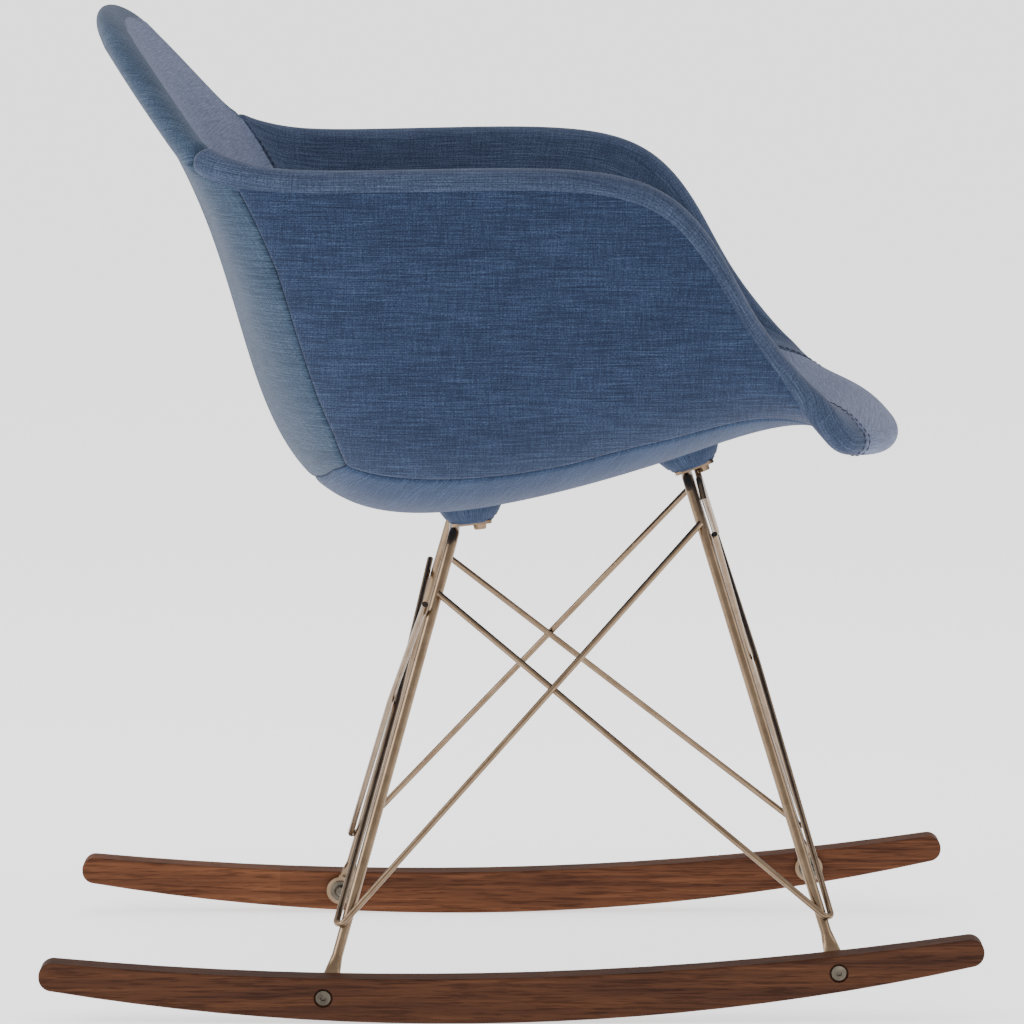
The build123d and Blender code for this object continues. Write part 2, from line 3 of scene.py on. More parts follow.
import bpy
import numpy as np
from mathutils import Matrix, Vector


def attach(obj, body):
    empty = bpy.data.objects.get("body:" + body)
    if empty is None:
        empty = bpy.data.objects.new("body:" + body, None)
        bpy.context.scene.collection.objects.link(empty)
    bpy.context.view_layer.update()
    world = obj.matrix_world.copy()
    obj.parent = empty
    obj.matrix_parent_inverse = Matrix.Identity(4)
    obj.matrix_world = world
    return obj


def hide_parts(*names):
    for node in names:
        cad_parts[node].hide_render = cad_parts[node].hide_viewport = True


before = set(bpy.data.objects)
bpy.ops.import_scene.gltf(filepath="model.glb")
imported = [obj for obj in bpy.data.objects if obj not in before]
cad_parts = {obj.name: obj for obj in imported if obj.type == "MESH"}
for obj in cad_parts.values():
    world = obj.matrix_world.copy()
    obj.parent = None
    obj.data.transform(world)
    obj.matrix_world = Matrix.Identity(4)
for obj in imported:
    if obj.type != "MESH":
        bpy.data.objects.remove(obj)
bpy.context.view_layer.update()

# ---------------------------------------------------------------- sizes of the sewn cover, in metres
INNER_FACE = 0.0130  # from the shell's middle to the cloth on the sitter's side
OUTER_FACE = 0.0080  # from the shell's middle to the cloth outside
PAD_DEPTH = 0.0085  # of the inner covers
OUTER_DEPTH = 0.0042  # of the outer covers
SEAM_DIP = 0.0026  # how far the cloth drops into a seam
SEAM_RUN = 0.0060  # how far from the seam the drop starts
ROLL_RADIUS = 0.0105  # of the padded rolls along the rim
ROLL_SHIFT = 0.0025  # of the rolls' centres towards the sitter
CORE_RADIUS = 0.0012  # of the inner face of a roll's solid
BACK_RIDGE = 0.0060  # how much wider the back's roll is than round
BACK_ROLL_END = 0.010  # length of the back roll's rounded ends
SWELL = 0.10  # share by which an arm roll is wider than round, at its fullest
CORNER_DIP = 0.0012  # how far the arm and lip rolls sink where they meet
CORNER_RUN = 0.004
NOTCH_DIP = 0.003  # how far the arm cover sinks at the notch behind the arm
NOTCH_RUN = 0.008
NOTCH_ROUND = 0.011  # length of the arm roll's rounded end there
ROLL_SINK = 0.6  # share of such a dip that comes off the roll's radius
STITCH_PITCH = 0.0050
STITCH_LENGTH = 0.0037
STITCH_RADIUS = 0.00052
STITCH_OFFSET = 0.0040  # of a row of stitches from its seam
STITCH_MARGIN = 0.004  # before the first stitch; the last one starts over twice that from the end
STITCH_CLEAR = 0.00005  # between the cloth and the line that a row follows
WEAVE_PITCH = 0.0013  # of the checked relief of the linen
BOSS_CLOTH = 0.0012  # thickness of the cloth over the bosses

# ---------------------------------------------------------------- places on the shell
# u runs from -1 to 1 across the shell and v from 0 at the lip to 1 at the top of the back.
NOTCH = 0.722  # v where the arm covers end, at the notch behind each arm
LIP_SEAM = 0.87  # u of the arm seam at the lip
SEAT_SEAM = 0.63  # u of the arm seam along the seat
FLARE = 0.075  # v over which the arm seam comes in from the lip
BEND = 0.367  # v where the arm seam starts to swing out to the notch
CORNER_SHARE = 0.026  # share of the arm cover's run that goes round the front corner
SIDE_FRONT = 0.064  # v of the side cover's front end
SIDE_REAR = 0.495  # u where the side, back and underside covers meet
SWELL_PLACE = 0.66  # v where an arm roll is fullest
SWELL_RUN = 0.05  # how fast it narrows from there
TOP_SCALE = 0.566  # metres of shell to one unit of v, near the top
SIDES = {"left": 1, "right": -1}

# The middle of the moulded shell, half of it, in millimetres: the same rows as the CAD model.
SHELL_ROWS = [
    ((-279, 414), (100, -279, 414), (163, -262, 417), (196, -238, 424)),
    ((-264, 432), (108, -264, 432), (189, -240, 424), (208, -220, 445)),
    ((-230, 438), (130, -230, 438), (208, -208, 436), (227, -197, 471)),
    ((-178, 429), (150, -178, 429), (228, -178, 431), (249, -164, 513)),
    ((-118, 408), (175, -118, 406), (235, -128, 413), (267, -141, 561)),
    ((-58, 388), (190, -58, 387), (238, -75, 399), (279, -108, 604)),
    ((2, 373), (195, 2, 371), (238, -10, 385), (285, -52, 617)),
    ((60, 363), (190, 60, 361), (236, 52, 381), (286, 38, 616)),
    ((114, 366), (165, 114, 362), (235, 110, 388), (284, 115, 614)),
    ((155, 392), (130, 155, 388), (228, 143, 424), (276, 172, 614)),
    ((182, 442), (112, 182, 440), (213, 168, 494), (258, 207, 620)),
    ((201, 510), (105, 201, 510), (188, 187, 558), (232, 230, 633)),
    ((222, 579), (95, 222, 579), (162, 211, 610), (206, 247, 652)),
    ((251, 640), (80, 251, 640), (136, 244, 652), (175, 265, 674)),
    ((284, 690), (62, 284, 690), (104, 279, 691), (140, 283, 697)),
    ((304, 722), (42, 304, 722), (82, 300, 718), (108, 293, 710)),
]
CONTROL = np.array([[(0, *row[0]), row[1], row[2], row[3]] for row in SHELL_ROWS], float) / 1000
CONTROL = np.concatenate([[2 * CONTROL[0] - CONTROL[1]], CONTROL, [2 * CONTROL[-1] - CONTROL[-2]]])


def shell_middle(u, v):
    """Points on the middle of the shell for arrays u and v."""
    u, v = np.broadcast_arrays(np.asarray(u, float), np.asarray(v, float))
    last = len(SHELL_ROWS) - 1
    place = np.clip(v, 0, 1) * last
    index = np.minimum(place.astype(int), last - 1)
    f = (place - index)[..., None, None]
    weights = ((1 - f) ** 3, 3 * f**3 - 6 * f**2 + 4, -3 * f**3 + 3 * f**2 + 3 * f + 1, f**3)
    row = sum(weight * CONTROL[index + step] for step, weight in enumerate(weights)) / 6
    a = np.abs(u)[..., None]
    point = row[..., 0, :] * (1 - a) ** 3 + row[..., 1, :] * (3 * (1 - a) ** 2 * a)
    point = point + row[..., 2, :] * (3 * (1 - a) * a**2) + row[..., 3, :] * a**3
    point[..., 0] *= np.where(u < 0, -1, 1)
    return point


def unit(vectors):
    return vectors / np.maximum(np.linalg.norm(vectors, axis=-1, keepdims=True), 1e-9)


def shell_normal(u, v):
    """Unit normals towards the sitter."""
    step = 0.002
    u = np.clip(u, -1 + step, 1 - step)
    v = np.clip(v, step, 1 - step)
    across = shell_middle(u + step, v) - shell_middle(u - step, v)
    along = shell_middle(u, v + step) - shell_middle(u, v - step)
    return unit(np.cross(across, along))


def shell_point(u, v, depth):
    """Points at a depth from the middle of the shell, measured towards the sitter."""
    return shell_middle(u, v) + shell_normal(u, v) * np.asarray(depth)[..., None]


# ---------------------------------------------------------------- seam places
# The seam under the side covers, as places (v, u).
UNDER_SEAM = [
    (0.0, 1.0),
    (0.046, 1.0),
    (0.06, 0.94),
    (0.08, 0.81),
    (0.10, 0.71),
    (0.12, 0.66),
    (0.14, 0.635),
    (0.16, 0.615),
    (0.19, 0.60),
    (0.217, 0.583),
    (0.278, 0.54),
    (0.325, 0.52),
    (0.365, 0.497),
    (0.403, 0.492),
    (0.453, 0.494),
    (0.495, 0.497),
    (0.6, SIDE_REAR),
]

# The seam round the foot of the back cover, as places (u, v) from the middle outwards.
BACK_SEAM = [
    (0.0, 0.588),
    (0.075, 0.588),
    (0.3, 0.577),
    (0.445, 0.558),
    (SIDE_REAR, 0.545),
    (0.585, 0.557),
    (0.665, 0.573),
    (0.775, 0.592),
    (0.875, 0.607),
    (0.94, 0.624),
    (1.0, 0.642),
]


def under_seam_u(v):
    return np.interp(v, *zip(*UNDER_SEAM))


def back_seam_v(u):
    return np.interp(np.abs(u), *zip(*BACK_SEAM))


def inner_seam_u(v):
    """u of the seam between the seat-and-back cover and an arm cover."""
    swing = np.clip((v - BEND) / (NOTCH - BEND), 0, 1) ** 2
    flare = np.exp(-((np.maximum(v, 0) / FLARE) ** 1.5))
    return 1 - (1 - SEAT_SEAM) * (1 - swing) + (LIP_SEAM - SEAT_SEAM) * flare


# ---------------------------------------------------------------- mesh helpers
END_STEPS = np.array([0, 0.6, 1.2, 1.9, 2.8, 3.9, 5.2, 6.8])


def spaced(count, first=0.0012, last=0.0012, length=0.5):
    """0..1 in about count steps, with small steps at both ends, so that a seam's roll-over is smooth.

    The end steps are near first and last, in metres, on a run of the given length.
    """
    even = np.linspace(0, 1, count)
    head = END_STEPS * first / length
    head = head[head < 0.1]
    tail = 1 - (END_STEPS * last / length)[::-1]
    body = even[(even > head[-1] + 0.3 / count) & (even < tail[0] - 0.3 / count)]
    return np.concatenate([head, body, tail])


def spaced_across():
    """-1..1 for a row that crosses the whole chair."""
    return spaced(150, length=0.45)[None, :] * 2 - 1


def make_object(name, points, faces, uvs=None, smooth=True):
    mesh = bpy.data.meshes.new(name)
    mesh.from_pydata([tuple(p) for p in points], [], [tuple(f) for f in faces])
    mesh.update()
    if uvs is not None:
        layer = mesh.uv_layers.new(name="cloth")
        loops = np.zeros(len(mesh.loops), dtype=np.int32)
        mesh.loops.foreach_get("vertex_index", loops)
        layer.data.foreach_set("uv", np.asarray(uvs, dtype=np.float32)[loops].ravel())
    if smooth:
        mesh.polygons.foreach_set("use_smooth", [True] * len(mesh.polygons))
    obj = bpy.data.objects.new(name, mesh)
    bpy.context.scene.collection.objects.link(obj)
    return obj


def path_distance(path):
    """Distance of each point of a path from its start, along the path."""
    steps = np.linalg.norm(np.diff(path, axis=0), axis=1)
    return np.concatenate([[0], np.cumsum(steps)])


def row_distance(points, start=0):
    """Distance along each grid row, measured from column start."""
    steps = np.linalg.norm(np.diff(points, axis=1), axis=2)
    run = np.concatenate([np.zeros((points.shape[0], 1)), np.cumsum(steps, axis=1)], axis=1)
    return run - run[:, [start]]


def weft_across(points):
    """Cloth coordinates, in metres, with the weft along the rows."""
    middle = points.shape[1] // 2
    up = path_distance(points[:, middle])
    return np.stack([row_distance(points, middle), np.repeat(up[:, None], points.shape[1], axis=1)], axis=2)


def weft_along(points, start):
    """Cloth coordinates, in metres, with the weft along the column start."""
    run = path_distance(points[:, start])
    return np.stack([np.repeat(run[:, None], points.shape[1], axis=1), row_distance(points, start)], axis=2)


def weft_level(points, axis, stretch):
    """Cloth coordinates, in metres, of a nearly upright panel whose weft lies level."""
    return np.stack([points[..., axis] * stretch, points[..., 2] * stretch], axis=2)


def weft_by_profile(points):
    """Cloth coordinates, in metres, with the weft square to the chair's middle plane."""
    count = 500
    profile = shell_middle(0.0, np.linspace(0, 1, count))[:, 1:]
    run = path_distance(profile)
    up = np.empty(points.shape[:2])
    for index, row in enumerate(points):
        gaps = np.linalg.norm(row[:, None, 1:] - profile[None], axis=2)
        near = gaps.argmin(axis=1)
        before = profile[np.maximum(near - 1, 0)]
        after = profile[np.minimum(near + 1, count - 1)]
        heading = unit(after - before)
        up[index] = run[near] + np.sum((row[:, 1:] - profile[near]) * heading, axis=1)
    return np.stack([row_distance(points, points.shape[1] // 2), up], axis=2)


def bias(cloth, angle):
    """Cloth coordinates turned by an angle, for a strip cut on the bias."""
    x, y = cloth[..., 0], cloth[..., 1]
    return np.stack([x * cos(angle) - y * sin(angle), x * sin(angle) + y * cos(angle)], axis=2)


def closed_grid(name, front, back, cloth, flip=False):
    """Closed solid from a front grid and a back grid of the same size, with its cloth coordinates."""
    rows, columns = front.shape[:2]
    points = np.concatenate([front.reshape(-1, 3), back.reshape(-1, 3)])
    uv = cloth.reshape(-1, 2)
    uvs = np.concatenate([uv, uv])
    corner = np.arange(rows - 1)[:, None] * columns + np.arange(columns - 1)[None, :]
    corner = corner.ravel()
    top = np.stack([corner, corner + 1, corner + columns + 1, corner + columns], axis=1)
    size = rows * columns
    under = top[:, ::-1] + size
    ring = list(range(columns)) + [r * columns + columns - 1 for r in range(1, rows)]
    ring += [(rows - 1) * columns + c for c in range(columns - 2, -1, -1)]
    ring += [r * columns for r in range(rows - 2, 0, -1)]
    ring = np.array(ring)
    after = np.roll(ring, -1)
    walls = np.stack([ring, ring + size, after + size, after], axis=1)
    faces = np.concatenate([top, under, walls])
    if flip:
        faces = faces[:, ::-1]
    return make_object(name, points, faces.tolist(), uvs)


def dip(distance, run=SEAM_RUN, depth=SEAM_DIP):
    """How far cloth drops towards a seam at a distance from it, like a quarter round."""
    x = np.clip(1 - distance / run, 0, 1)
    return depth * (1 - np.sqrt(np.maximum(1 - x**2, 0)))


def rounded(share, least):
    """Height of a quarter round at a share of its run, with its square kept over least."""
    return np.sqrt(np.clip(1 - (1 - np.clip(share, 0, 1)) ** 2, least, 1))


def edge_distances(points):
    """Distance of each grid point from the grid's four edges: start and end of its row, low and high."""
    from_start = row_distance(points)
    from_low = row_distance(points.swapaxes(0, 1)).T
    return from_start, from_start[:, -1:] - from_start, from_low, from_low[-1:] - from_low


# ---------------------------------------------------------------- material helpers
def new_material(name):
    material = bpy.data.materials.new(name)
    material.use_nodes = True
    nodes = material.node_tree.nodes
    return material, nodes, material.node_tree.links, nodes["Principled BSDF"]


def srgb(r, g, b):
    """Linear colour of an sRGB colour given as 0..255."""

    def linear(c):
        c /= 255
        return c / 12.92 if c <= 0.04045 else ((c + 0.055) / 1.055) ** 2.4

    return (linear(r), linear(g), linear(b), 1.0)


def stretched_noise(nodes, links, source, scale, detail=2.0, roughness=0.5, seed=(0, 0, 0)):
    mapping = nodes.new("ShaderNodeMapping")
    mapping.inputs["Scale"].default_value = scale
    mapping.inputs["Location"].default_value = seed
    links.new(source, mapping.inputs["Vector"])
    noise = nodes.new("ShaderNodeTexNoise")
    noise.inputs["Scale"].default_value = 1.0
    noise.inputs["Detail"].default_value = detail
    noise.inputs["Roughness"].default_value = roughness
    links.new(mapping.outputs["Vector"], noise.inputs["Vector"])
    return noise.outputs["Fac"]


def math_node(nodes, links, operation, a, b):
    node = nodes.new("ShaderNodeMath")
    node.operation = operation
    for socket, value in zip(node.inputs, (a, b)):
        if isinstance(value, (int, float)):
            socket.default_value = value
        else:
            links.new(value, socket)
    return node.outputs[0]


def weighted_sum(nodes, links, parts):
    """Sum of several outputs, each times its weight."""
    total = None
    for source, weight in parts:
        part = math_node(nodes, links, "MULTIPLY", source, weight)
        total = part if total is None else math_node(nodes, links, "ADD", total, part)
    return total


def ramp_node(nodes, links, source, stops):
    ramp = nodes.new("ShaderNodeValToRGB")
    while len(ramp.color_ramp.elements) < len(stops):
        ramp.color_ramp.elements.new(0.5)
    for element, (position, color) in zip(ramp.color_ramp.elements, stops):
        element.position = position
        element.color = color
    links.new(source, ramp.inputs["Fac"])
    return ramp.outputs["Color"]


def split_xyz(nodes, links, source):
    parts = nodes.new("ShaderNodeSeparateXYZ")
    links.new(source, parts.inputs["Vector"])
    return parts.outputs


def object_place(nodes):
    return nodes.new("ShaderNodeTexCoord").outputs["Object"]


def add_roughness(nodes, links, shader, source, low, high):
    roughness = nodes.new("ShaderNodeMapRange")
    roughness.inputs["To Min"].default_value = low
    roughness.inputs["To Max"].default_value = high
    links.new(source, roughness.inputs["Value"])
    links.new(roughness.outputs["Result"], shader.inputs["Roughness"])


def add_bump(nodes, links, shader, height, strength, distance):
    bump = nodes.new("ShaderNodeBump")
    bump.inputs["Strength"].default_value = strength
    bump.inputs["Distance"].default_value = distance
    links.new(height, bump.inputs["Height"])
    links.new(bump.outputs["Normal"], shader.inputs["Normal"])


def sheared(nodes, links, source, slopes):
    """Coordinates slid along each other, so that neighbouring threads don't change tone side by side."""
    parts = split_xyz(nodes, links, source)
    whole = nodes.new("ShaderNodeCombineXYZ")
    slide_x = math_node(nodes, links, "MULTIPLY", parts["Y"], slopes[0])
    slide_y = math_node(nodes, links, "MULTIPLY", parts["X"], slopes[1])
    links.new(math_node(nodes, links, "ADD", parts["X"], slide_x), whole.inputs["X"])
    links.new(math_node(nodes, links, "ADD", parts["Y"], slide_y), whole.inputs["Y"])
    return whole.outputs["Vector"]


# ---------------------------------------------------------------- materials
def linen_material(name, dark, middle, light, seed, streak):
    """Slubby plain-weave linen: long weft slubs, finer warp threads and a small checked relief."""
    material, nodes, links, shader = new_material(name)
    cloth = nodes.new("ShaderNodeUVMap")
    cloth.uv_map = "cloth"
    uv = cloth.outputs["UV"]
    weft_uv = sheared(nodes, links, uv, (13.7, 0))
    warp_uv = sheared(nodes, links, uv, (0, 8.3))
    weft = stretched_noise(nodes, links, weft_uv, (38, 1500, 1), 1.0, 0.5, (seed, 0, 0))
    slub = stretched_noise(nodes, links, weft_uv, (15, 900, 1), 1.0, 0.5, (seed, 7, 0))
    warp = stretched_noise(nodes, links, warp_uv, (1400, 52, 1), 1.0, 0.5, (seed, 3, 0))
    broad = stretched_noise(nodes, links, uv, (7, 30, 1), 1.0, 0.5, (seed, 11, 0))
    fuzz = stretched_noise(nodes, links, uv, (700, 860, 1), 3.0, 0.75, (seed, 5, 0))
    parts = [(weft, 0.30 * streak), (slub, 0.16 * streak), (warp, 0.18), (fuzz, 0.48), (broad, 0.06)]
    centring = 0.5 - 0.5 * sum(weight for _, weight in parts)
    tone = math_node(nodes, links, "ADD", weighted_sum(nodes, links, parts), centring)
    color = ramp_node(nodes, links, tone, [(0.37, dark), (0.5, middle), (0.63, light)])
    links.new(color, shader.inputs["Base Color"])
    add_roughness(nodes, links, shader, tone, 0.78, 0.95)
    place = split_xyz(nodes, links, uv)
    waves = []
    for axis in ("X", "Y"):
        phase = math_node(nodes, links, "MULTIPLY", place[axis], 2 * pi / WEAVE_PITCH)
        waves.append(math_node(nodes, links, "SINE", phase, 0))
    check = math_node(nodes, links, "MULTIPLY", *waves)
    add_bump(nodes, links, shader, weighted_sum(nodes, links, [(check, 0.16), (tone, 1.6)]), 0.45, 0.0006)
    shader.inputs["Specular IOR Level"].default_value = 0.18
    shader.inputs["Sheen Weight"].default_value = 0.12
    shader.inputs["Sheen Roughness"].default_value = 0.42
    shader.inputs["Sheen Tint"].default_value = (0.90, 0.88, 1.0, 1.0)
    return material


def thread_material():
    material, nodes, links, shader = new_material("stitching thread")
    twist = stretched_noise(nodes, links, object_place(nodes), (1800, 1800, 1800), 1.0)
    color = ramp_node(nodes, links, twist, [(0.3, srgb(22, 27, 42)), (0.7, srgb(42, 50, 72))])
    links.new(color, shader.inputs["Base Color"])
    add_bump(nodes, links, shader, twist, 0.3, 0.0002)
    shader.inputs["Roughness"].default_value = 0.7
    return material


WALNUT = [(0.30, (48, 26, 17)), (0.45, (84, 50, 34)), (0.56, (104, 64, 42)), (0.72, (136, 88, 60))]


def wood_material(name, seed, shade, joints=()):
    """Oiled walnut: long grain along the board, open pores and a change of tone at each glued joint.

    A joint is given as its place along Y and the change of tone behind it.
    """
    material, nodes, links, shader = new_material(name)
    place = object_place(nodes)
    bend = stretched_noise(nodes, links, place, (3, 4, 16), 2.0, 0.5, (seed, 0, 0))
    grain = stretched_noise(nodes, links, place, (260, 9, 280), 5.0, 0.6, (seed, 2, 0))
    pores = stretched_noise(nodes, links, place, (700, 34, 700), 2.0, 0.6, (seed, 4, 0))
    figure = stretched_noise(nodes, links, place, (60, 2.6, 150), 3.0, 0.55, (seed, 6, 0))
    tone = weighted_sum(nodes, links, [(grain, 0.52), (figure, 0.28), (bend, 0.20)])
    for joint_y, change in joints:
        along = split_xyz(nodes, links, place)["Y"]
        beyond = math_node(nodes, links, "GREATER_THAN", along, joint_y)
        tone = math_node(nodes, links, "ADD", tone, math_node(nodes, links, "MULTIPLY", beyond, change))
    # Painted shade: shade darkens the whole walnut colour, much more on the right rocker than on the left.
    stops = [(position, srgb(*[channel * shade for channel in color])) for position, color in WALNUT]
    color = ramp_node(nodes, links, tone, stops)
    dark_pores = ramp_node(nodes, links, pores, [(0.38, (0.50, 0.46, 0.44, 1)), (0.50, (1, 1, 1, 1))])
    mix = nodes.new("ShaderNodeMix")
    mix.data_type = "RGBA"
    mix.blend_type = "MULTIPLY"
    mix.inputs["Factor"].default_value = 0.8
    links.new(color, mix.inputs["A"])
    links.new(dark_pores, mix.inputs["B"])
    links.new(mix.outputs["Result"], shader.inputs["Base Color"])
    add_roughness(nodes, links, shader, grain, 0.50, 0.72)
    add_bump(nodes, links, shader, pores, 0.25, 0.0004)
    shader.inputs["Specular IOR Level"].default_value = 0.10
    return material


def mottled_material(name, dark, light, roughness_low, roughness_high, metallic):
    """Metal or moulded plastic with a fine mottled finish and slight wear."""
    material, nodes, links, shader = new_material(name)
    place = object_place(nodes)
    mottle = stretched_noise(nodes, links, place, (60, 60, 60), 4.0, 0.6)
    speckle = stretched_noise(nodes, links, place, (1600, 1600, 1600), 1.0)
    color = ramp_node(nodes, links, mottle, [(0.35, dark), (0.65, light)])
    links.new(color, shader.inputs["Base Color"])
    add_roughness(nodes, links, shader, mottle, roughness_low, roughness_high)
    add_bump(nodes, links, shader, speckle, 0.12, 0.0001)
    shader.inputs["Metallic"].default_value = metallic
    return material


# Each linen: its name, its dark, middle and light tones, the seed of its threads and how streaky it is. The
# chair wears one blue linen; the tones differ from cover to cover only as painted light and shade, lightest
# on the seat and darkest on the sides.
LINENS = {
    "side": ("blue linen, weft level, painted shaded tone", (16, 24, 44), (32, 44, 69), (62, 79, 106), 1.0, 1.0),
    "arm": ("blue linen on the arms, painted light-and-shade tone", (30, 38, 56), (50, 61, 84), (80, 92, 116), 23.0, 1.0),
    "seat": ("blue linen on the seat, painted lit tone", (54, 61, 84), (85, 94, 119), (118, 127, 151), 41.0, 1.0),
    "back": ("blue linen behind, painted light-and-shade tone", (26, 38, 55), (47, 62, 81), (74, 90, 109), 63.0, 1.0),
    "edge": ("blue linen on the edge, painted light-and-shade tone", (30, 41, 57), (50, 65, 85), (80, 94, 113), 85.0, 0.9),
    "under": ("blue linen beneath, painted shaded tone", (24, 34, 54), (42, 57, 83), (68, 86, 115), 107.0, 1.0),
    "boss": ("blue linen on the bosses, painted light-and-shade tone", (30, 40, 59), (50, 63, 88), (76, 90, 117), 129.0, 1.0),
}
LINEN = {}
for cover_name, (label, dark, middle, light, seed, streak) in LINENS.items():
    LINEN[cover_name] = linen_material(label, srgb(*dark), srgb(*middle), srgb(*light), seed, streak)
THREAD = thread_material()
BRONZE = mottled_material("champagne bronze wire", srgb(122, 102, 82), srgb(140, 119, 97), 0.24, 0.34, 1.0)
ZINC = mottled_material("dull fasteners", srgb(70, 64, 56), srgb(112, 104, 92), 0.34, 0.52, 0.9)
PLASTIC = mottled_material("moulded shell", srgb(120, 116, 108), srgb(140, 136, 128), 0.55, 0.70, 0.0)
# One walnut for both rockers. Each copy is darkened by painted shade, the right rocker much more than the
# left.
WOOD_RIGHT_SHADED = wood_material("walnut, right rocker, painted shade", 3.0, 0.76)
WOOD_LEFT = wood_material("walnut, left rocker", 31.0, 0.94, joints=((0.186, 0.04),))


def dress(obj, material):
    obj.data.materials.clear()
    obj.data.materials.append(material)


def show_piece(obj, material):
    dress(obj, material)
    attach(obj, "root")


# ---------------------------------------------------------------- arm covers with their rolled edges
def sweep_roll(centres, normals, outward, radius, wide, degrees):
    """Skin and core grids of a roll, turned from the normals outwards; wide stretches it outwards."""
    skin = []
    core = []
    for angle in np.radians(degrees):
        reach = (sin(angle) * wide)[:, None] * outward + cos(angle) * normals
        skin.append(centres + reach * radius[:, None])
        core.append(centres + reach * CORE_RADIUS)
    return np.stack(skin, axis=1), np.stack(core, axis=1)


def rim_frame(side, u, v):
    """Roll centres, normals and outward directions along one arm's rim, smooth round the front corner."""
    centre = shell_point(side * u, v, ROLL_SHIFT)
    normal = shell_normal(side * u, v)
    for _ in range(10):
        centre[1:-1] = (centre[:-2] + 2 * centre[1:-1] + centre[2:]) / 4
        normal[1:-1] = unit(normal[:-2] + 2 * normal[1:-1] + normal[2:])
    tangent = unit(np.gradient(centre, axis=0))
    outward = unit(np.cross(normal, tangent))
    inside = shell_middle(side * 0.9 * u, v + 0.02) - shell_middle(side * u, v)
    outward *= -np.sign(np.sum(outward * inside))
    return centre, normal, outward


def arm_cover(side_name, side):
    """One arm's cover, from its seam over the rim and round under the roll."""
    run = spaced(200, 0.001, 0.0007, 0.64)
    across = spaced(46, 0.0012, 0.004, 0.24)
    rim_u = LIP_SEAM + (1 - LIP_SEAM) * np.clip(run / CORNER_SHARE, 0, 1)
    rim_v = NOTCH * np.clip((run - CORNER_SHARE) / (1 - CORNER_SHARE), 0, 1)
    seam_v = NOTCH * run
    seam = inner_seam_u(seam_v)[:, None]
    u = seam + (rim_u[:, None] - seam) * across[None, :]
    v = seam_v[:, None] + (rim_v - seam_v)[:, None] * across[None, :]
    from_seam, _, from_front, from_notch = edge_distances(shell_point(side * u, v, INNER_FACE))
    rim_from_notch = from_notch[:, -1:]
    end_dip = dip(from_front[:, -1:], CORNER_RUN, CORNER_DIP) + dip(rim_from_notch, NOTCH_RUN, NOTCH_DIP)
    depth = INNER_FACE - dip(from_seam) - end_dip
    front = shell_point(side * u, v, depth)
    back = shell_point(side * u, v, depth - PAD_DEPTH)

    centre, normal, outward = rim_frame(side, rim_u, rim_v)
    radius = (ROLL_RADIUS - end_dip[:, 0] * ROLL_SINK) * rounded(rim_from_notch[:, 0] / NOTCH_ROUND, 0.02)
    swell = 1 + SWELL * np.exp(-(((rim_v - SWELL_PLACE) / SWELL_RUN) ** 2))
    skin, core = sweep_roll(centre, normal, outward, radius, swell, np.linspace(0, 222, 30)[1:])
    blend = across[None, :, None] ** 6
    front = front + (centre + normal * radius[:, None] - front[:, -1])[:, None, :] * blend
    front = np.concatenate([front, skin], axis=1)
    back = back + (centre + normal * CORE_RADIUS - back[:, -1])[:, None, :] * blend
    back = np.concatenate([back, core], axis=1)
    cloth = weft_along(front, len(across) - 1)
    cover = closed_grid("arm_cover_" + side_name, front, back, cloth, flip=side < 0)
    show_piece(cover, LINEN["arm"])
    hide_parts("inner_arm_panel_" + side_name, "arm_welt_" + side_name)


for side_name, side in SIDES.items():
    arm_cover(side_name, side)


# ---------------------------------------------------------------- seat and inner back
def seat_cover():
    """One cover from the lip to the top, between the arm seams and then between the back's rolls."""
    v = (spaced(230, 0.0012, 0.004, 0.75) * (1 - BACK_RIDGE / TOP_SCALE))[:, None]
    rim_scale = np.linalg.norm(shell_middle(1.0, v) - shell_middle(0.98, v), axis=-1) / 0.02
    beside_roll = 1 - BACK_RIDGE / np.maximum(rim_scale, 0.06)
    u = spaced_across() * np.where(v >= NOTCH, beside_roll, inner_seam_u(v))
    from_left, from_right, _, _ = edge_distances(shell_point(u, v, INNER_FACE))
    at_seam = np.where(v < NOTCH + 0.004, 1.0, 0.0)
    depth = INNER_FACE - at_seam * (dip(from_left) + dip(from_right))
    front = shell_point(u, v, depth)
    back = shell_point(u, v, depth - PAD_DEPTH)
    cover = closed_grid("seat_and_back_cover", front, back, weft_by_profile(front))
    show_piece(cover, LINEN["seat"])
    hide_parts("inner_centre_panel", "seat_foam")


seat_cover()


# ---------------------------------------------------------------- rolled edges of the back and the lip
def smooth_resample(values, places, wanted):
    """Cubic interpolation through a few stations, used to run a roll smoothly round a corner."""
    slopes = np.gradient(values, places, axis=0)
    index = np.clip(np.searchsorted(places, wanted) - 1, 0, len(places) - 2)
    gap = (places[index + 1] - places[index])[:, None]
    f = ((wanted - places[index]) / gap[:, 0])[:, None]
    h00 = 2 * f**3 - 3 * f**2 + 1
    h10 = f**3 - 2 * f**2 + f
    h01 = -2 * f**3 + 3 * f**2
    h11 = f**3 - f**2
    low, high = values[index], values[index + 1]
    return h00 * low + h10 * gap * slopes[index] + h01 * high + h11 * gap * slopes[index + 1]


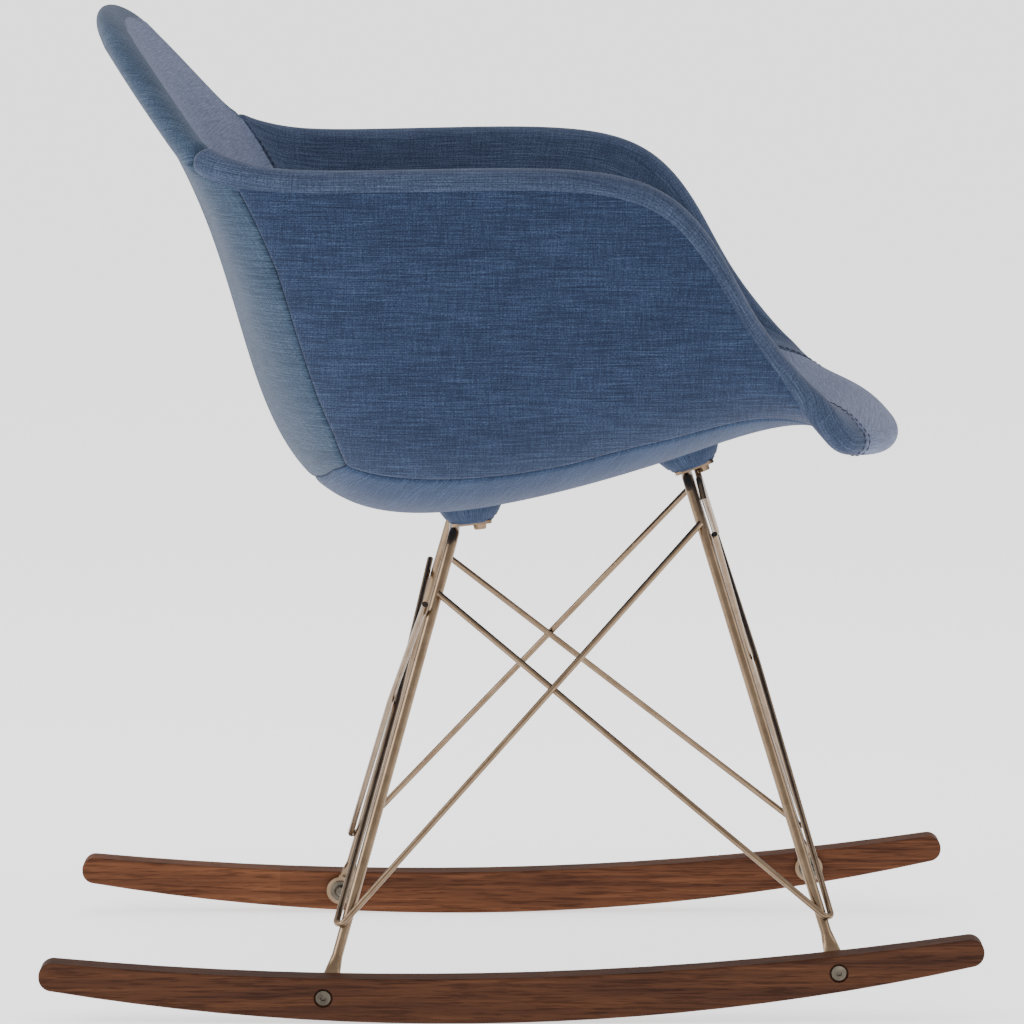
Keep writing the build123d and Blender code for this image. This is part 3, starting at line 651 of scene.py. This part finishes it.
def roll_stations(u, v, inside_u, inside_v, count):
    """Roll centres, normals, outward directions and distances from the nearer end, along a rim.

    The inside places show which way is inwards.
    """
    centres = shell_point(u, v, ROLL_SHIFT)
    insides = shell_middle(inside_u, inside_v) - shell_middle(u, v)
    run = path_distance(centres)
    wanted = spaced(count, 0.0008, 0.0008, run[-1]) * run[-1]
    normals = unit(smooth_resample(shell_normal(u, v), run, wanted))
    centres = smooth_resample(centres, run, wanted)
    insides = smooth_resample(insides, run, wanted)
    outward = unit(np.cross(normals, unit(np.gradient(centres, wanted, axis=0))))
    outward *= -np.sign(np.sum(outward * insides))
    return centres, normals, outward, np.minimum(wanted, run[-1] - wanted)


# Places of the back roll from the left notch to the middle of the top: 1 to 2 is v up the left rim,
# and 2 to 3 crosses half of the top.
CLIMB = [1.712, 1.74, 1.77, 1.80, 1.83, 1.86, 1.89, 1.92, 1.945, 1.968, 2.1, 2.25, 2.4, 2.6, 2.8, 3.0]


def back_roll():
    """The roll up one side of the back, over its top and down the other side."""
    turns = np.array(CLIMB + CLIMB[-2::-1])
    side = np.where(np.arange(len(turns)) < len(CLIMB), 1, -1)
    u = side * np.clip(3 - turns, 0, 1)
    v = np.clip(turns - 1, 0, 1)
    centres, normals, outward, from_end = roll_stations(u, v, u * 0.9, 0.5 + (v - 0.5) * 0.9, 300)
    radius = ROLL_RADIUS * rounded(from_end / BACK_ROLL_END, 0.03)
    wide = (radius + BACK_RIDGE) / radius
    centres = centres - outward * BACK_RIDGE
    front, core = sweep_roll(centres, normals, outward, radius, wide, np.linspace(-8, 218, 34))
    piece = closed_grid("back_edge_roll", front, core, bias(weft_across(front), 0.9))
    show_piece(piece, LINEN["edge"])
    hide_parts("back_edge_welt")


def lip_roll():
    """The roll along the front lip, between the arm rolls."""
    u = np.linspace(-LIP_SEAM, LIP_SEAM, 41)
    centres, normals, outward, from_end = roll_stations(u, 0.0, u * 0.85, 0.08, 170)
    radius = ROLL_RADIUS - dip(from_end, CORNER_RUN, CORNER_DIP) * ROLL_SINK
    wide = np.ones_like(radius)
    front, core = sweep_roll(centres, normals, outward, radius, wide, np.linspace(-8, 215, 34))
    piece = closed_grid("front_edge_roll", front, core, weft_along(front, 0), flip=True)
    show_piece(piece, LINEN["seat"])
    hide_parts("front_edge_welt")


back_roll()
lip_roll()


# ---------------------------------------------------------------- outer covers
def outer_piece(name, u, v, weft, material, edges, flip=False):
    """Padded outer panel; edges gives how deep the cloth dips at the start, end, low and high edges."""
    distances = edge_distances(shell_point(u, v, -OUTER_FACE))
    drop = sum(dip(distance, SEAM_RUN, depth) for distance, depth in zip(distances, edges))
    drop = np.minimum(drop, OUTER_DEPTH)
    front = shell_point(u, v, -OUTER_FACE + drop)
    back = shell_point(u, v, -OUTER_FACE + drop + OUTER_DEPTH)
    piece = closed_grid(name, front, back, weft(front), flip=not flip)
    show_piece(piece, material)
    return piece


def side_weft(points):
    return weft_level(points, 1, 1.05)


def back_weft(points):
    return weft_level(points, 0, 1.06)


def side_cover(side_name, side):
    s = spaced(70, length=0.26)[None, :]
    t = spaced(120, length=0.4)[:, None]
    v_rear = back_seam_v(SIDE_REAR + (1 - SIDE_REAR) * s)
    v = SIDE_FRONT + (v_rear - SIDE_FRONT) * t
    seam = under_seam_u(v)
    u = side * (seam + (1 - seam) * s)
    edges = (SEAM_DIP, 0.0034, 0.0022, SEAM_DIP)
    name = "outer_side_cover_" + side_name
    cover = outer_piece(name, u, v, side_weft, LINEN["side"], edges, flip=side < 0)
    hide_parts("outer_side_panel_" + side_name)


def back_cover():
    s = spaced_across()
    t = spaced(90, length=0.33)[:, None]
    v_low = back_seam_v(s)
    v = v_low + (1 - v_low) * t
    edges = (SEAM_DIP, SEAM_DIP, SEAM_DIP, SEAM_DIP)
    cover = outer_piece("outer_back_cover", s * np.ones_like(t), v, back_weft, LINEN["back"], edges)
    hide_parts("outer_back_panel", "outer_wadding")


def underside_cover():
    s = spaced_across()
    extra_rows = np.linspace(0.2, 0.34, 40)
    t = np.sort(np.concatenate([spaced(130), extra_rows]))[:, None]
    v = back_seam_v(s * SIDE_REAR) * t
    u = s * np.where(v > 0.5, SIDE_REAR, under_seam_u(v))
    edges = (SEAM_DIP, SEAM_DIP, 0.003, SEAM_DIP)
    cover = outer_piece("underside_cover", u, v, weft_across, LINEN["under"], edges)
    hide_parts("underside_panel")


for side_name, side in SIDES.items():
    side_cover(side_name, side)
back_cover()
underside_cover()


# ---------------------------------------------------------------- top-stitching
# One stitch, as places along its length and the share of its full thickness there.
STITCH_RINGS = ((0.0, 0.15), (0.14, 0.8), (0.5, 1.0), (0.86, 0.8), (1.0, 0.15))


def stitch_row(name, path, normals):
    """A row of short raised stitches along a path on the cloth."""
    run = path_distance(path)
    sides = 6
    last_ring = len(STITCH_RINGS) - 1
    points = []
    faces = []
    for start in np.arange(STITCH_MARGIN, run[-1] - 2 * STITCH_MARGIN, STITCH_PITCH):
        base = len(points)
        for part, thick in STITCH_RINGS:
            place = start + part * STITCH_LENGTH
            centre = np.array([np.interp(place, run, path[:, k]) for k in range(3)])
            ahead = np.array([np.interp(place + 0.001, run, path[:, k]) for k in range(3)])
            normal = unit(np.array([np.interp(place, run, normals[:, k]) for k in range(3)]))
            tangent = unit(ahead - centre)
            side_way = np.cross(tangent, normal)
            lift = STITCH_RADIUS * (0.55 * sin(pi * part) - 0.15)
            for corner in range(sides):
                angle = corner * 2 * pi / sides
                offset = (cos(angle) * side_way + sin(angle) * normal) * STITCH_RADIUS * thick
                points.append(centre + normal * lift + offset)
        for ring in range(last_ring):
            for corner in range(sides):
                a = base + ring * sides + corner
                b = base + ring * sides + (corner + 1) % sides
                faces.append((a, b, b + sides, a + sides))
        faces.append(tuple(base + corner for corner in reversed(range(sides))))
        faces.append(tuple(base + last_ring * sides + corner for corner in range(sides)))
    show_piece(make_object(name, points, faces), THREAD)


def inner_seam_path(side, offset):
    """Line on the sitter's side of the cover, offset metres outwards from the arm seam."""
    v = np.linspace(0.004, NOTCH - 0.02, 280)
    seam = inner_seam_u(v)
    scale = np.linalg.norm(shell_middle(seam, v) - shell_middle(seam - 0.01, v), axis=-1) / 0.01
    u = side * np.clip(seam + offset / scale, 0, 1)
    return shell_point(u, v, INNER_FACE - dip(abs(offset)) + STITCH_CLEAR), shell_normal(u, v)


def lip_seam_path(side, offset):
    """Line round the front edge beside the arm seam, starting on the underside of the roll."""
    u = np.array([LIP_SEAM - 0.01, LIP_SEAM, LIP_SEAM + 0.01])
    middle = shell_point(side * u, 0.0, ROLL_SHIFT)
    tangent = unit(middle[2] - middle[0])
    normal = shell_normal(side * LIP_SEAM, 0.0)
    outward = unit(np.cross(normal, tangent))
    outward = outward * -np.sign(np.dot(outward, shell_middle(side * 0.75, 0.08) - middle[1]))
    angle = np.radians(np.linspace(150, 4, 60))[:, None]
    reach = np.sin(angle) * outward + np.cos(angle) * normal
    return middle[1] + tangent * offset + reach * (ROLL_RADIUS + STITCH_CLEAR), reach


for side_name, side in SIDES.items():
    for row_name, offset in (("inside", -STITCH_OFFSET), ("outside", STITCH_OFFSET)):
        lip, lip_normals = lip_seam_path(side, offset)
        seam, seam_normals = inner_seam_path(side, offset)
        path = np.concatenate([lip, seam])
        normals = np.concatenate([lip_normals, seam_normals])
        stitch_row("top_stitching_" + row_name + "_" + side_name, path, normals)


# ---------------------------------------------------------------- boss covers
BOSS_X = 0.085  # of each boss's axis, from the chair's middle
BOSS_SHIFT = 0.0058  # of the boss towards the rear of its mount
BOSS_TILT = {"front": radians(20.4), "rear": radians(6.2)}
BOSS_FOOT = {"front": (-0.1406, 0.3966), "rear": (0.0244, 0.3534)}  # Y and Z of the mount

# The cloth's outline as (radius, rise): turned in under the foot, up the cone and flaring at the top.
BOSS_PROFILE = [(0.0040, 0.0005), (0.0120, 0.0002), (0.0150, 0.0003), (0.0161, 0.0012), (0.0166, 0.0025)]
BOSS_PROFILE += [(0.0162 + 0.62 * rise, rise) for rise in (0.004, 0.006, 0.008, 0.010)]
BOSS_PROFILE += [(0.0227, 0.0115), (0.0243, 0.0128), (0.0265, 0.0142), (0.0290, 0.0158)]


def boss_cover(end, side_name, side):
    """Cloth drawn over a mounting boss, flaring where it meets the underside."""
    tilt = BOSS_TILT[end]
    axis = np.array([0, sin(tilt), cos(tilt)])
    rear = np.array([0, cos(tilt), -sin(tilt)])
    across = np.array([1.0, 0, 0])
    foot = np.array([side * BOSS_X, *BOSS_FOOT[end]]) + rear * BOSS_SHIFT
    points = []
    uvs = []
    count = 64
    gathers = 9
    gather_depth = 0.006
    for step, (radius, rise) in enumerate(BOSS_PROFILE):
        for corner in range(count):
            angle = 2 * pi * corner / count
            pucker = 1 + gather_depth * sin(angle * gathers) * (0.3 + 0.7 * step / len(BOSS_PROFILE))
            reach = across * cos(angle) + rear * sin(angle)
            points.append(foot + reach * radius * pucker + axis * rise)
            uvs.append((0.003 * step + rise * 1.5, angle * 0.02))
    faces = []
    for ring in range(len(BOSS_PROFILE) - 1):
        for corner in range(count):
            a = ring * count + corner
            b = ring * count + (corner + 1) % count
            faces.append((a, a + count, b + count, b))
    cover = make_object(end + "_" + side_name + "_boss_cover", points, faces, uvs)
    thicken = cover.modifiers.new("cloth thickness", "SOLIDIFY")
    thicken.thickness = BOSS_CLOTH
    thicken.offset = -1
    show_piece(cover, LINEN["boss"])


for end in ("front", "rear"):
    for side_name, side in SIDES.items():
        boss_cover(end, side_name, side)

# ---------------------------------------------------------------- carried-over CAD nodes
NODE_MATERIALS = {
    "left_rocker": WOOD_LEFT,
    "right_rocker": WOOD_RIGHT_SHADED,
    "seat_shell": PLASTIC,
    "threaded_inserts": ZINC,
    "seat_bolts": BRONZE,
    "rocker_bolts": ZINC,
    "rocker_washers": ZINC,
    "rocker_cap_nuts": ZINC,
}
for name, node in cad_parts.items():
    if node.hide_render:
        continue
    if name.endswith("_boss"):
        dress(node, PLASTIC)
    else:
        dress(node, NODE_MATERIALS.get(name, BRONZE))


# ---------------------------------------------------------------- floor, light and camera
def floor_material():
    """Softly glowing near-white paper."""
    material, nodes, links, shader = new_material("studio floor")
    paper = stretched_noise(nodes, links, object_place(nodes), (3, 3, 3), 2.0)
    color = ramp_node(nodes, links, paper, [(0.0, (0.90, 0.90, 0.90, 1)), (1.0, (0.93, 0.93, 0.93, 1))])
    links.new(color, shader.inputs["Base Color"])
    shader.inputs["Roughness"].default_value = 0.8
    shader.inputs["Emission Color"].default_value = (1.0, 1.0, 1.0, 1.0)
    shader.inputs["Emission Strength"].default_value = 1.3
    return material


FLOOR_CORNERS = [(-9, -40, 0), (60, -40, 0), (60, 40, 0), (-9, 40, 0)]
floor = make_object("studio_floor", FLOOR_CORNERS, [(0, 1, 2, 3)], smooth=False)
dress(floor, floor_material())

scene = bpy.context.scene
world = bpy.data.worlds.new("studio")
world.use_nodes = True
world.node_tree.nodes["Background"].inputs["Color"].default_value = (1.0, 1.0, 1.0, 1)
world.node_tree.nodes["Background"].inputs["Strength"].default_value = 0.80
scene.world = world


def area_light(name, location, target, size, power):
    data = bpy.data.lights.new(name, "AREA")
    data.shape = "RECTANGLE"
    data.size, data.size_y = size
    data.energy = power
    light = bpy.data.objects.new(name, data)
    light.location = location
    light.rotation_euler = (Vector(target) - Vector(location)).to_track_quat("-Z", "Y").to_euler()
    scene.collection.objects.link(light)


area_light("back_softbox", (-0.9, 2.4, 1.5), (0, 0.1, 0.45), (1.6, 1.8), 42)
area_light("front_softbox", (-0.8, -2.4, 1.7), (0, -0.1, 0.4), (1.4, 1.8), 16)
area_light("overhead", (0.1, 0.0, 2.6), (0, 0, 0.4), (2.2, 2.2), 20)

CAMERA_TILT = 6.88  # degrees below level
camera_data = bpy.data.cameras.new("photo_camera")
camera_data.lens = 199.37
camera_data.sensor_width = 36
camera_data.clip_end = 50
camera = bpy.data.objects.new("photo_camera", camera_data)
camera.location = (-4.2825, 0.0, 0.8655)
camera.rotation_euler = (radians(90 - CAMERA_TILT), 0, radians(-90))
scene.collection.objects.link(camera)
scene.camera = camera
